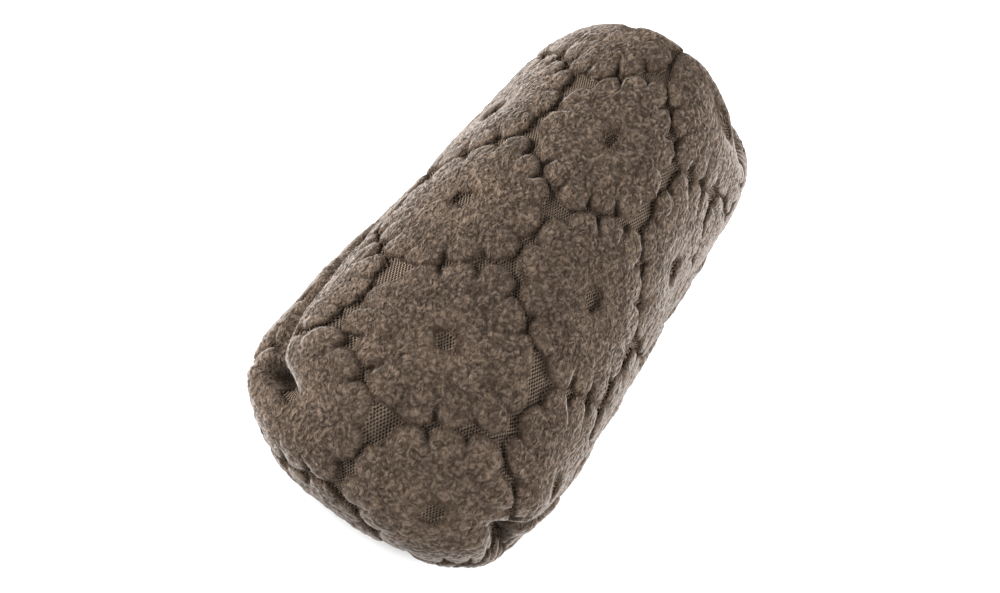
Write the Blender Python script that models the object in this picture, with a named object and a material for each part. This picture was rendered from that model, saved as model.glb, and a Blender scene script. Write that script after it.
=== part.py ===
"""Fleece slipper: a hollow fleece upper, a padded sole panel and fifteen hexagon grips.

Metres, +X from heel to toe, +Y to the wearer's left, +Z up, the floor at z = 0.
The upper is a ring of profiles. Each profile starts under the edge of the sole, goes round the
cushioned edge, over the instep and ends at the collar, which slants down behind the crest.
"""

import bpy
import numpy as np

MM = 0.001

TOE_END = 126.0
HEEL_END = -126.0
BALL_STATION = 72.0
HEEL_STATION = -78.0
BALL_HALF_WIDTH = 60.5
HEEL_HALF_WIDTH = 56.0
TOE_BLUNTNESS = 2.7
HEEL_BLUNTNESS = 2.5

CREST_STATION = -62.0
CREST_HEIGHT = 124.0
TOE_RAMP_HEIGHT = 45.0
INSTEP_BULGE = 5.0
TOE_TOP_STATION = 76.0
HEEL_TOP_STATION = -84.0
TOP_ROUNDNESS = 2.3
SECTION_ROUNDNESS = 2.3

COLLAR = (
    {"along": -62.0, "across": 0.0, "height": 124.0},
    {"along": -62.5, "across": 16.0, "height": 121.0},
    {"along": -64.0, "across": 31.0, "height": 110.0},
    {"along": -68.5, "across": 42.0, "height": 92.0},
    {"along": -80.0, "across": 48.5, "height": 75.0},
    {"along": -97.0, "across": 47.5, "height": 67.0},
    {"along": -114.0, "across": 32.0, "height": 65.0},
    {"along": -122.0, "across": 0.0, "height": 65.0},
)

EDGE_INSET = 12.0
EDGE_HEIGHT = 23.0
FIRST_ANGLE = -60.0

SEAM = (
    {"station": -126.0, "height": 26.0, "drawn_in": 0.0, "depth": 0.0},
    {"station": -112.0, "height": 26.0, "drawn_in": 1.0, "depth": 1.6},
    {"station": -60.0, "height": 27.0, "drawn_in": 3.0, "depth": 2.2},
    {"station": -20.0, "height": 28.0, "drawn_in": 4.0, "depth": 2.2},
    {"station": 20.0, "height": 31.0, "drawn_in": 6.0, "depth": 2.2},
    {"station": 60.0, "height": 35.0, "drawn_in": 9.0, "depth": 2.2},
    {"station": 86.0, "height": 38.0, "drawn_in": 7.0, "depth": 2.2},
    {"station": 104.0, "height": 40.0, "drawn_in": 0.0, "depth": 0.0},
    {"station": 126.0, "height": 40.0, "drawn_in": 0.0, "depth": 0.0},
)
SEAM_HALF_WIDTH = 5.0
SEAM_SHOULDER = 30.0
PUCKER_STATION = 92.0
PUCKER_DEPTH = 0.8
PUCKER_RADIUS = 8.0

WALL = 4.0
PILE_STEP = 2.2
FLOWER_ALONG = 104.0
FLOWER_ACROSS = 70.0
FLOWER_RADIUS = 29.0
FLOWER_EDGE = 4.0
FLOWER_START_ALONG = 36.0
FLOWER_START_ACROSS = -4.0

TOE_SPRING = 4.0
TOE_SPRING_START = 92.0

COLUMNS = 108
EDGE_ROWS = 6
UPPER_ROWS = 25
INNER_ROW_STEP = 3
FINE_SAMPLES = 240
SPREAD_POWER = 1.45

MEETING_GAP = 0.35
SOLE_BOTTOM = 0.6
SOLE_TOP = 6.4
SOLE_ROLL = 5.0

GRIP_FLATS = 22.0
GRIP_THICKNESS = 2.2
GRIP_BEVEL = 0.7
GRIP_SEAT_GAP = 0.35
GRIP_CENTRE = 11.0
GRIP_ROWS = (
    {"name": "r1", "across": -35.5, "pitch": 36.5},
    {"name": "r2", "across": 0.0, "pitch": 41.5},
    {"name": "r3", "across": 35.5, "pitch": 36.5},
)
GRIPS_PER_ROW = 5

FLEECE = {"name": "taupe_fleece", "colour": (0.19, 0.145, 0.112, 1.0), "roughness": 0.95, "metallic": 0.0}
SOLE_FLEECE = {"name": "sole_fleece", "colour": (0.17, 0.13, 0.10, 1.0), "roughness": 0.95, "metallic": 0.0}
GRIP_RUBBER = {"name": "grip_rubber", "colour": (0.14, 0.165, 0.215, 1.0), "roughness": 0.45, "metallic": 0.0}
SHARP_ANGLE = 40.0


def smooth(low, high, value):
    """0 below low, 1 above high and an S-curve between."""
    share = np.clip((value - low) / (high - low), 0.0, 1.0)
    return share * share * (3.0 - 2.0 * share)


def quarter(share, roundness):
    """Height of a unit superellipse quarter at this share of its width."""
    inside = 1.0 - np.clip(share, 0.0, 1.0) ** roundness
    return inside ** (1.0 / roundness)


def half_width(x, inset):
    """Half the width of the plan outline at station x, with the outline drawn in by inset."""
    ball = BALL_HALF_WIDTH - inset
    heel = HEEL_HALF_WIDTH - inset
    side = heel + (ball - heel) * smooth(HEEL_STATION, BALL_STATION, x)
    toe = quarter((x - BALL_STATION) / (TOE_END - inset - BALL_STATION), TOE_BLUNTNESS)
    back = quarter((HEEL_STATION - x) / (HEEL_STATION - HEEL_END - inset), HEEL_BLUNTNESS)
    return side * toe * back


def top_line(x):
    """Height of the instep along the middle of the foot, rounded down to the nose and to the heel."""
    share = (TOE_END - x) / (TOE_END - CREST_STATION)
    ramp = TOE_RAMP_HEIGHT + (CREST_HEIGHT - TOE_RAMP_HEIGHT) * share
    ramp = ramp + INSTEP_BULGE * np.sin(np.pi * np.clip(share, 0.0, 1.0))
    toe = quarter((x - TOE_TOP_STATION) / (TOE_END - TOE_TOP_STATION), TOP_ROUNDNESS)
    back = quarter((HEEL_TOP_STATION - x) / (HEEL_TOP_STATION - HEEL_END), TOP_ROUNDNESS)
    return EDGE_HEIGHT + (ramp - EDGE_HEIGHT) * toe * back


def roof(x, y):
    """Height of the instep over a point of the plan: a superellipse section at each station."""
    width = np.maximum(half_width(x, 0.0), 1e-6)
    rise = top_line(x) - EDGE_HEIGHT
    return EDGE_HEIGHT + rise * quarter(np.abs(y) / width, SECTION_ROUNDNESS)


def smooth_curve(knots, values, at):
    """A smooth curve through values at knots: cubic pieces with slopes taken from the neighbours."""
    slopes = np.gradient(values, knots)
    place = np.clip(np.searchsorted(knots, at) - 1, 0, len(knots) - 2)
    step = knots[place + 1] - knots[place]
    share = (at - knots[place]) / step
    rest = 1.0 - share
    ends = values[place] * rest**2 * (1.0 + 2.0 * share) + values[place + 1] * share**2 * (1.0 + 2.0 * rest)
    turns = slopes[place] * share * rest**2 - slopes[place + 1] * share**2 * rest
    return ends + turns * step


def seam_table(name, x):
    """One column of the seam's table at stations x."""
    stations = np.array([row["station"] for row in SEAM])
    return smooth_curve(stations, np.array([row[name] for row in SEAM]), x)


def outline_stations(count):
    """Stations from the toe's end to the heel's end, evenly spaced along the plan outline."""
    angle = np.linspace(0.0, np.pi, 4001)
    x = 0.5 * (TOE_END + HEEL_END) + 0.5 * (TOE_END - HEEL_END) * np.cos(angle)
    y = half_width(x, 0.0)
    run = np.concatenate([[0.0], np.cumsum(np.hypot(np.diff(x), np.diff(y)))])
    return np.interp(np.linspace(0.0, run[-1], count), run, x)


def inset_stations(x, inset):
    """The same stations on the outline drawn in by inset: the two ends shrink towards the foot."""
    toe_share = (x - BALL_STATION) / (TOE_END - BALL_STATION)
    heel_share = (HEEL_STATION - x) / (HEEL_STATION - HEEL_END)
    moved = np.where(toe_share > 0.0, BALL_STATION + toe_share * (TOE_END - inset - BALL_STATION), x)
    return np.where(heel_share > 0.0, HEEL_STATION - heel_share * (HEEL_STATION - HEEL_END - inset), moved)


def collar_line(share):
    """The collar's edge on one side, from the crest at share 0 to the back at share 1."""
    edge = np.array([[row["along"], row["across"], row["height"]] for row in COLLAR])
    mirrored = edge * [1.0, -1.0, 1.0]
    edge = np.concatenate([mirrored[1:3][::-1], edge, mirrored[-3:-1][::-1]])
    run = np.concatenate([[0.0], np.cumsum(np.linalg.norm(np.diff(edge, axis=0), axis=1))])
    at = run[2] + (run[-3] - run[2]) * share
    x, y, z = (smooth_curve(run, edge[:, axis], at) for axis in range(3))
    y[0] = 0.0
    y[-1] = 0.0
    return x, y, z


def even_rows(points, count):
    """Each profile's points spaced evenly along it again, as count rows."""
    steps = np.linalg.norm(np.diff(points, axis=0), axis=2)
    run = np.concatenate([np.zeros((1, points.shape[1])), np.cumsum(steps, axis=0)])
    result = np.empty((count, points.shape[1], 3))
    for column in range(points.shape[1]):
        wanted = np.linspace(0.0, run[-1, column], count)
        for axis in range(3):
            result[:, column, axis] = np.interp(wanted, run[:, column], points[:, column, axis])
    return result


def drawn_in(points):
    """Points with the wall above the side seam drawn in, most just over the seam and less higher up."""
    x, y, z = points[..., 0], points[..., 1], points[..., 2]
    above = z - seam_table("height", x)
    reach = smooth(-7.0, 7.0, above) * np.exp(-np.clip(above, 0.0, None) / SEAM_SHOULDER)
    moved = points.copy()
    moved[..., 1] = y - np.clip(y / 20.0, -1.0, 1.0) * seam_table("drawn_in", x) * reach
    return moved


def skin(columns, edge_rows, upper_rows):
    """The smooth outer skin as rows x columns x 3, in millimetres; columns go once round the shoe.

    Rows go from under the sole's edge, round a rolled edge, and over the roof to the collar. The roof is
    lowered or lifted along each column so that it ends on the collar's edge.
    """
    stations = outline_stations(columns // 2 + 1)
    angles = np.radians(np.linspace(FIRST_ANGLE, 0.0, edge_rows + 1))[:, None]
    inset = EDGE_INSET * (1.0 - np.cos(angles))
    x = inset_stations(stations[None, :], inset)
    z = np.broadcast_to(EDGE_HEIGHT * (1.0 + np.sin(angles)), x.shape)
    rolled = np.stack([x, half_width(x, inset), z], axis=2)
    rim_x, rim_y, rim_z = collar_line(np.linspace(0.0, 1.0, len(stations)) ** SPREAD_POWER)
    share = (0.5 - 0.5 * np.cos(np.linspace(0.0, np.pi, FINE_SAMPLES))[:, None]) ** 1.5
    x = stations + (rim_x - stations) * share
    y = half_width(stations, 0.0) + (rim_y - half_width(stations, 0.0)) * share
    z = roof(x, y) + (rim_z - roof(rim_x, rim_y)) * share
    z[0] = EDGE_HEIGHT
    upper = drawn_in(np.stack([x, y, z], axis=2))
    upper = even_rows(upper, upper_rows + 1)
    half = np.concatenate([rolled[:-1], upper])
    other = half[:, -2:0:-1] * [1.0, -1.0, 1.0]
    return np.concatenate([half, other], axis=1)


def normals_of(grid):
    """Unit normals of a grid whose columns close into a ring, pointing out of the shoe."""
    along = np.roll(grid, -1, axis=1) - np.roll(grid, 1, axis=1)
    up = np.gradient(grid, axis=0)
    cross = np.cross(along, up)
    length = np.linalg.norm(cross, axis=2, keepdims=True)
    normal = cross / np.maximum(length, 1e-9)
    middle = grid.mean(axis=(0, 1))
    if np.sum(normal * (grid - middle)) < 0.0:
        normal = -normal
    return normal


def fabric_place(grid):
    """Where a point lies on the flat fabric: millimetres along from the toe and across from the middle."""
    x, y, z = grid[..., 0], grid[..., 1], grid[..., 2]
    line = np.linspace(TOE_END, HEEL_END, 2001)
    height = top_line(line)
    run = np.concatenate([[0.0], np.cumsum(np.hypot(np.diff(line), np.diff(height)))])
    along = np.interp(-x, -line, run)
    width = np.maximum(half_width(x, 0.0), 1.0)
    rise = np.maximum(top_line(x) - EDGE_HEIGHT, 1.0)
    angle = np.arctan2((z - EDGE_HEIGHT) / rise, np.abs(y) / width)
    reach = 0.5 * np.pi * np.sqrt(0.5 * (width**2 + rise**2)) * 1.06
    across = np.sign(y) * reach * (1.0 - angle / (0.5 * np.pi))
    return along, across


def flower_share(along, across):
    """1 on a flower of the pile, 0 on the knit ground between flowers."""
    along = along - FLOWER_START_ALONG
    across = across - FLOWER_START_ACROSS
    nearest = np.full(np.shape(along), 1e9)
    for shift in (0.0, 0.5):
        away_along = along / FLOWER_ALONG - shift
        away_across = across / FLOWER_ACROSS - shift
        away_along = (away_along - np.round(away_along)) * FLOWER_ALONG
        away_across = (away_across - np.round(away_across)) * FLOWER_ACROSS
        nearest = np.minimum(nearest, np.hypot(away_along, away_across))
    return 1.0 - smooth(FLOWER_RADIUS - FLOWER_EDGE, FLOWER_RADIUS + FLOWER_EDGE, nearest)


def seam_depth(grid):
    """How far the sunk side seam and the pucker at its toe end draw the skin in."""
    x = grid[..., 0]
    above = grid[..., 2] - seam_table("height", x)
    groove = seam_table("depth", x) * np.exp(-((above / SEAM_HALF_WIDTH) ** 2))
    pucker_away = np.hypot(above, x - PUCKER_STATION)
    return groove + PUCKER_DEPTH * np.exp(-((pucker_away / PUCKER_RADIUS) ** 2))


def with_toe_spring(points):
    """Points lifted by the toe spring of the sole under them."""
    lifted = np.array(points, dtype=float)
    share = np.clip((lifted[..., 0] - TOE_SPRING_START) / (TOE_END - TOE_SPRING_START), 0.0, None)
    lifted[..., 2] += TOE_SPRING * share**2
    return lifted


def material_of(finish):
    """The material of this finish, made the first time that it is asked for."""
    made = bpy.data.materials.get(finish["name"])
    if made is None:
        made = bpy.data.materials.new(finish["name"])
        made.use_nodes = True
        shader = made.node_tree.nodes["Principled BSDF"]
        shader.inputs["Base Color"].default_value = finish["colour"]
        shader.inputs["Roughness"].default_value = finish["roughness"]
        shader.inputs["Metallic"].default_value = finish["metallic"]
    return made


def add_object(name, points, faces, finish):
    """A mesh object from millimetre points, lifted by the toe spring."""
    mesh = bpy.data.meshes.new(name)
    mesh.from_pydata((with_toe_spring(points) * MM).tolist(), [], [list(map(int, face)) for face in faces])
    mesh.validate()
    mesh.shade_smooth()
    mesh.set_sharp_from_angle(angle=np.radians(SHARP_ANGLE))
    mesh.materials.append(material_of(finish))
    made = bpy.data.objects.new(name, mesh)
    bpy.context.scene.collection.objects.link(made)
    return made


def ring_faces(row_count, columns, first=0):
    """Quads between neighbouring rows of closed rings."""
    faces = []
    for row in range(row_count - 1):
        for column in range(columns):
            following = (column + 1) % columns
            low = first + row * columns
            high = low + columns
            faces.append((low + column, low + following, high + following, high + column))
    return faces


def ladder_faces(ring_start, columns, turned):
    """Quads that fill a mirrored ring across the foot, rung by rung, with a triangle at each end."""
    half = columns // 2
    faces = []
    for rung in range(half):
        a = ring_start + rung
        b = ring_start + rung + 1
        c = ring_start + (columns - rung - 1) % columns
        d = ring_start + (columns - rung) % columns
        corners = [a, b, c, d]
        face = [corner for place, corner in enumerate(corners) if corner not in corners[:place]]
        faces.append(face[::-1] if turned else face)
    return faces


def make_upper(ground, normal):
    """The upper: the ground skin with the pile raised, and an inner skin one wall further in."""
    along, across = fabric_place(ground)
    raised = flower_share(along, across) * PILE_STEP
    fade = np.ones((ground.shape[0], 1))
    fade[0] = 0.0
    fade[-1] = 0.6
    depth = raised * fade - seam_depth(ground)
    outer = ground + normal * depth[:, :, None]
    inner = ground - normal * WALL
    rim_out = 0.5 * (outer[-1] + inner[-1])
    rise = ground[-1] - ground[-2]
    rise = rise / np.linalg.norm(rise, axis=1, keepdims=True)
    rim_out = rim_out + rise * WALL * 0.45
    kept = list(range(ground.shape[0] - 1, 0, -INNER_ROW_STEP)) + [0]
    rows = np.concatenate([outer, rim_out[None], inner[kept]])
    columns = ground.shape[1]
    faces = ring_faces(len(rows), columns)
    last = (len(rows) - 1) * columns
    for column in range(columns):
        following = (column + 1) % columns
        faces.append((last + column, last + following, following, column))
    add_object("upper", rows.reshape(-1, 3), faces, FLEECE)
    return inner[0]


def hexagon(centre_x, centre_y, flats):
    """The corners of a hexagon with a corner to each side of the foot and a flat to heel and toe."""
    angle = np.radians(30.0 + 60.0 * np.arange(6))
    reach = flats / np.sqrt(3.0)
    return np.stack([centre_x + reach * np.cos(angle), centre_y + reach * np.sin(angle)], axis=1)


def hexagon_rings(centre, rings):
    """Points of stacked hexagons, each ring a pair of flats size and height."""
    stack = []
    for flats, height in rings:
        corners = hexagon(centre[0], centre[1], flats)
        stack.append(np.column_stack([corners, np.full(6, height)]))
    return np.concatenate(stack)


def hexagon_faces(ring_count, first=0):
    """A closed stack of hexagons, the first ring lowest."""
    faces = [tuple(first + corner for corner in range(5, -1, -1))]
    faces += ring_faces(ring_count, 6, first)
    top = first + (ring_count - 1) * 6
    faces.append(tuple(top + corner for corner in range(6)))
    return faces


def grip_places():
    """Name and centre of each grip."""
    places = []
    middle = (GRIPS_PER_ROW - 1) / 2
    for row in GRIP_ROWS:
        for number in range(GRIPS_PER_ROW):
            x = GRIP_CENTRE + (number - middle) * row["pitch"]
            places.append((f"grip_{row['name']}_c{number + 1}", (x, row["across"])))
    return places


def make_grips():
    """The hexagon grips, each with a bevelled lower edge; their lowest faces lie on the floor."""
    rings = (
        (GRIP_FLATS - 2.0 * GRIP_BEVEL, 0.0),
        (GRIP_FLATS, GRIP_BEVEL),
        (GRIP_FLATS, GRIP_THICKNESS),
    )
    for name, centre in grip_places():
        add_object(name, hexagon_rings(centre, rings), hexagon_faces(len(rings)), GRIP_RUBBER)


def make_sole(ground_edge, inner_edge):
    """The sole panel inside the upper's lower edge, with a seat cut for each grip."""
    columns = len(ground_edge)
    inward = inner_edge - ground_edge
    inward[:, 2] = 0.0
    inward = inward / np.linalg.norm(inward, axis=1, keepdims=True)
    low_edge = ground_edge + inward * MEETING_GAP
    high_edge = inner_edge + inward * MEETING_GAP
    rolled = ground_edge + inward * (MEETING_GAP + SOLE_ROLL * 0.5)
    rolled[:, 2] = SOLE_BOTTOM + 0.25 * (ground_edge[:, 2] - SOLE_BOTTOM)
    flat = ground_edge + inward * (MEETING_GAP + SOLE_ROLL)
    flat[:, 2] = SOLE_BOTTOM
    top = inner_edge + inward * (MEETING_GAP + 1.2)
    top[:, 2] = np.maximum(SOLE_TOP, inner_edge[:, 2] + 0.6)
    bed = inner_edge + inward * (MEETING_GAP + 9.0)
    bed[:, 2] = SOLE_TOP
    rows = np.concatenate([flat[None], rolled[None], low_edge[None], high_edge[None], top[None], bed[None]])
    faces = ring_faces(len(rows), columns)
    faces += ladder_faces(0, columns, True)
    faces += ladder_faces((len(rows) - 1) * columns, columns, False)
    sole = add_object("sole", rows.reshape(-1, 3), faces, SOLE_FLEECE)
    seat_points = []
    seat_faces = []
    size = GRIP_FLATS + 2.0 * GRIP_SEAT_GAP
    rings = ((size, -5.0), (size, GRIP_THICKNESS + GRIP_SEAT_GAP))
    for _, centre in grip_places():
        seat_faces += hexagon_faces(len(rings), sum(map(len, seat_points)))
        seat_points.append(hexagon_rings(centre, rings))
    cutter = add_object("grip_seats", np.concatenate(seat_points), seat_faces, SOLE_FLEECE)
    cutter.hide_render = True
    cutter.display_type = "WIRE"
    cut = sole.modifiers.new("seats", "BOOLEAN")
    cut.operation = "DIFFERENCE"
    cut.solver = "EXACT"
    cut.object = cutter


def main():
    for thing in list(bpy.data.objects):
        bpy.data.objects.remove(thing)
    ground = skin(COLUMNS, EDGE_ROWS, UPPER_ROWS)
    normal = normals_of(ground)
    inner_edge = make_upper(ground, normal)
    make_sole(ground[0], inner_edge)
    make_grips()


main()
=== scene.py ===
"""Looks of the fleece slipper: flowered sherpa pile on an open knit, a lining, a sole and rubber grips.

Shapes are worked out in millimetres, with +X from heel to toe, +Y to the wearer's left and +Z up, and are
put into the meshes in metres. The upper is a ring of profiles that go from under the sole's edge, round a
cushioned edge and over the instep to the collar.
"""

import functools
import itertools
import math

import bmesh
import bpy
import numpy as np
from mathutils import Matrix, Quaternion, Vector


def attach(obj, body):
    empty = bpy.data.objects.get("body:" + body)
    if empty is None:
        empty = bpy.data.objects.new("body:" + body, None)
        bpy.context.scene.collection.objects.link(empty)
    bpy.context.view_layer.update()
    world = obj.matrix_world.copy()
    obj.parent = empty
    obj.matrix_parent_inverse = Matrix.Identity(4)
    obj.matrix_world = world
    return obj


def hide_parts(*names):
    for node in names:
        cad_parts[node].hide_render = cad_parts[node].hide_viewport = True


bl_info = {
    "name": "Fleece Slipper",
    "version": (1, 0, 0),
    "blender": (4, 5, 0),
    "location": "3D View > Sidebar > Slipper",
    "description": "Dresses a fleece slipper: pile, knit ground, lining, sole panel, grips and a studio",
    "category": "Mesh",
}

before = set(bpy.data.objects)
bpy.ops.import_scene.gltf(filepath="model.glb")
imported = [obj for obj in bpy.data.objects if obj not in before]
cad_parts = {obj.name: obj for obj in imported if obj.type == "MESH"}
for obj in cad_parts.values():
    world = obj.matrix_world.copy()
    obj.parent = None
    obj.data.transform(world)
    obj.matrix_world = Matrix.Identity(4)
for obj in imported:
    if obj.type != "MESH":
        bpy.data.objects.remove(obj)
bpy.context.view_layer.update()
BODY = "root"
MM = 0.001

# The last: the same driving sizes as the solids, in millimetres.
TOE_END = 126.0
HEEL_END = -126.0
BALL_STATION = 72.0
HEEL_STATION = -78.0
BALL_HALF_WIDTH = 60.5
HEEL_HALF_WIDTH = 56.0
TOE_BLUNTNESS = 2.7
HEEL_BLUNTNESS = 2.5
CREST_STATION = -62.0
CREST_HEIGHT = 124.0
TOE_RAMP_HEIGHT = 45.0
INSTEP_BULGE = 5.0
TOE_TOP_STATION = 76.0
HEEL_TOP_STATION = -84.0
TOP_ROUNDNESS = 2.3
SECTION_ROUNDNESS = 2.3
EDGE_INSET = 12.0
EDGE_HEIGHT = 23.0
FIRST_ANGLE = -60.0
TOE_SPRING = 4.0
TOE_SPRING_START = 92.0
WALL = 4.0

# The collar's edge from the crest to the back. The profiles spread along it by a power of their share of the
# way round, and the power is raised towards the heel.
COLLAR = (
    {"along": -62.0, "across": 0.0, "height": 124.0},
    {"along": -62.5, "across": 16.0, "height": 121.0},
    {"along": -64.0, "across": 31.0, "height": 110.0},
    {"along": -68.5, "across": 42.0, "height": 92.0},
    {"along": -80.0, "across": 48.5, "height": 75.0},
    {"along": -97.0, "across": 47.5, "height": 67.0},
    {"along": -114.0, "across": 32.0, "height": 65.0},
    {"along": -122.0, "across": 0.0, "height": 65.0},
)
COLLAR_SPREAD = 1.45
COLLAR_HEEL_SPREAD = 0.55
COLLAR_HEEL_WAY = (0.5, 0.8)
ROLL_RADIUS = 3.0

# The sunk side seams: their height, how far the wall over them is drawn in, and how deep they sink. The
# fabric is sewn on with a slight twist, so the seam on the wearer's right runs higher.
SEAM_RIGHT = (
    {"station": -126.0, "height": 26.0, "drawn_in": 0.0, "depth": 0.0},
    {"station": -112.0, "height": 27.0, "drawn_in": 1.0, "depth": 2.2},
    {"station": -60.0, "height": 33.0, "drawn_in": 2.0, "depth": 3.6},
    {"station": -20.0, "height": 38.0, "drawn_in": 3.0, "depth": 4.2},
    {"station": 20.0, "height": 42.0, "drawn_in": 4.0, "depth": 4.6},
    {"station": 60.0, "height": 45.0, "drawn_in": 4.0, "depth": 4.0},
    {"station": 86.0, "height": 43.0, "drawn_in": 3.0, "depth": 3.4},
    {"station": 104.0, "height": 39.0, "drawn_in": 1.5, "depth": 3.0},
    {"station": 114.0, "height": 38.0, "drawn_in": 0.0, "depth": 0.0},
    {"station": 126.0, "height": 38.0, "drawn_in": 0.0, "depth": 0.0},
)
SEAM_LEFT = (
    {"station": -126.0, "height": 26.0, "drawn_in": 0.0, "depth": 0.0},
    {"station": -112.0, "height": 26.0, "drawn_in": 1.0, "depth": 2.2},
    {"station": -60.0, "height": 27.0, "drawn_in": 1.5, "depth": 3.4},
    {"station": -20.0, "height": 28.0, "drawn_in": 1.5, "depth": 3.4},
    {"station": 20.0, "height": 28.0, "drawn_in": 1.5, "depth": 3.4},
    {"station": 60.0, "height": 28.0, "drawn_in": 1.0, "depth": 3.4},
    {"station": 86.0, "height": 30.0, "drawn_in": 1.0, "depth": 3.4},
    {"station": 104.0, "height": 34.0, "drawn_in": 0.5, "depth": 3.4},
    {"station": 114.0, "height": 36.0, "drawn_in": 0.0, "depth": 0.0},
    {"station": 126.0, "height": 36.0, "drawn_in": 0.0, "depth": 0.0},
)
SEAM_BLEND = (-7.0, 7.0)
SEAM_SHOULDER = 30.0
SEAM_HALF_WIDTH = 1.9
SEAM_LIP = 3.5
SEAM_SEWN_DEPTH = (0.5, 2.0)
SEAM_OUT_OF_REACH = 9.0
SIDE_REACH = 20.0
HEEL_SEAM_STATION = -100.0
HEEL_SEAM_DEPTH = 3.0
HEEL_SEAM_HALF_WIDTH = 2.4

# Puckers at the seams' toe ends: soft troughs (depth over 0) and ridges (under 0) placed from the seam.
FOLDS = (
    {"side": -1.0, "station": 108.5, "above": -1.5, "depth": 9.5, "along": 3.8, "upright": 3.6},
    {"side": -1.0, "station": 101.0, "above": 11.0, "depth": -4.5, "along": 12.0, "upright": 7.0},
    {"side": -1.0, "station": 104.0, "above": -12.0, "depth": -2.4, "along": 14.0, "upright": 6.0},
    {"side": 1.0, "station": 105.0, "above": -5.0, "depth": 8.5, "along": 4.5, "upright": 7.0},
    {"side": 1.0, "station": 94.0, "above": 11.0, "depth": -2.6, "along": 12.0, "upright": 6.0},
    {"side": 1.0, "station": 92.0, "above": -12.0, "depth": 3.0, "along": 16.0, "upright": 8.0},
)
FOLD_SIDE = (0.0, 8.0)
# Painted shade: the tone is darkened by up to this share where the skin sinks between these depths, in mm.
FOLD_PAINTED_SHADE = 0.8
FOLD_SHADE_DEPTH = (2.5, 6.0)

# How the fabric lies on the shoe: stretch over the sections and the nose, and the turn round the heel.
SECTION_STRETCH = 1.06
NOSE_TURN = (0.35, 0.85)
NOSE_ALONG = 1.2
NOSE_ACROSS = 1.05
HEEL_TURN_STATION = -70.0
HEEL_TURN_RADIUS = 54.0
HEEL_DROP_START = 98.0
HEEL_STATIONS = (-45.0, -85.0)
HEEL_UPRIGHT = (0.55, 0.85)

# How finely the surfaces are worked out. The shell under the pile takes every few columns and rows.
COLUMNS = 1080
EDGE_ROWS = 44
UPPER_ROWS = 460
FINE_SAMPLES = 240
SAMPLE_CROWDING = 1.5
OUTLINE_SAMPLES = 4001
TOP_SAMPLES = 1500
SHELL_COLUMN_STEP = 4
SHELL_ROW_STEP = 10
ROLL_ROWS = 28
ROLL_ROW_STEP = 3
RATE_ROWS = 5
SOLE_COLUMN_STEP = 2
SOLE_ROWS = 90
BED_ROWS = 12
GRIP_COLUMNS = 96
MERGE_DISTANCE = 1e-6

# The pile's pieces, as shares of the way round the shoe from the toe over the wearer's left side, and which
# of the rows each takes, because the profiles get shorter towards the heel.
PATCHES = (
    {"name": "fleece_toe_left", "from": 0.0, "to": 0.15, "row_step": 1},
    {"name": "fleece_side_left", "from": 0.15, "to": 0.32, "row_step": 2},
    {"name": "fleece_heel", "from": 0.32, "to": 0.68, "row_step": 4},
    {"name": "fleece_side_right", "from": 0.68, "to": 0.85, "row_step": 2},
    {"name": "fleece_toe_right", "from": 0.85, "to": 1.0, "row_step": 1},
)

# The sole panel and its grips. A grip's profile goes from its upper rim to the middle of its dished face, as
# shares of its reach and heights.
MEETING_GAP = 0.35
SOLE_KNIT_HEIGHT = 2.6
SOLE_PILE_SHARE = 0.5
SOLE_LOWEST = 0.35
SOLE_SEAT_GAP = 0.8
SOLE_SEAT_DEPTH = 0.6
SOLE_SEAT_EDGE = (-1.0, 1.6)
SOLE_ROLL = 6.0
SOLE_TOP = 6.4
SOLE_MIDDLE_SHARE = 0.72
LIP_INSET = 1.2
LIP_RISE = 0.6
BED_ROLL = (0.0, 0.25)
GRIP_FLATS = 22.0
GRIP_THICKNESS = 2.2
GRIP_SHARPNESS = 26.0
HEXAGON_TURNS = np.radians(60.0 * np.arange(6))
GRIP_CENTRE = 11.0
GRIPS_PER_ROW = 5
GRIP_ROWS = (
    {"name": "r1", "across": -35.5, "pitch": 36.5},
    {"name": "r2", "across": 0.0, "pitch": 41.5},
    {"name": "r3", "across": 35.5, "pitch": 36.5},
)
GRIP_PROFILE = (
    {"share": 0.985, "height": 2.2},
    {"share": 1.0, "height": 2.05},
    {"share": 1.0, "height": 0.85},
    {"share": 0.988, "height": 0.5},
    {"share": 0.955, "height": 0.16},
    {"share": 0.915, "height": 0.03},
    {"share": 0.88, "height": 0.0},
    {"share": 0.84, "height": 0.05},
    {"share": 0.76, "height": 0.12},
    {"share": 0.4, "height": 0.15},
    {"share": 0.0, "height": 0.15},
)

# The pile's form, with its lengths in millimetres: its rounded and ragged edge, its crown, lumps, creases
# and curls, how far the knit and the shell lie under the plain skin, how the pile thins out at the upper's
# two edges, and the waves and slopes that its chance is drawn from.
PILE_EDGE = 3.6
PILE_START = (0.0, 0.8)
PILE_CROWN = 0.7
PILE_CROWN_REACH = 12.0
PILE_SPREAD = 0.9
PILE_RAGGED = 0.7
PILE_RAGGED_LENGTH = 2.6
PILE_SHEEN_START = 2.0
EDGE_CALM = 0.45
EDGE_CALM_REACH = (0.5, 7.0)
CELL_ROUNDING = 15.0
EYE_SOFTNESS = 0.6
LUMP_LENGTH = 3.4
LUMP_HEIGHT = 0.28
CREASE_WIDTH = 1.2
CREASE_REACH = 4.0
CREASE_DEPTH = 1.7
CURL_BEND_LENGTH = 4.0
CURL_RANGE = (-0.55, 0.6)
KNIT_SUNK = 0.5
SHELL_SUNK = 1.6
ROLL_SUNK = 1.2
HEM_PILE = 0.3
EDGE_FADE_ROWS = 10.0
PHASE_WAVES = {"along": 12.9, "across": 78.2, "shift": 37.7, "spread": 437.5}
NOISE_SLOPES = 256
NOISE_GAIN = 1.7
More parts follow.
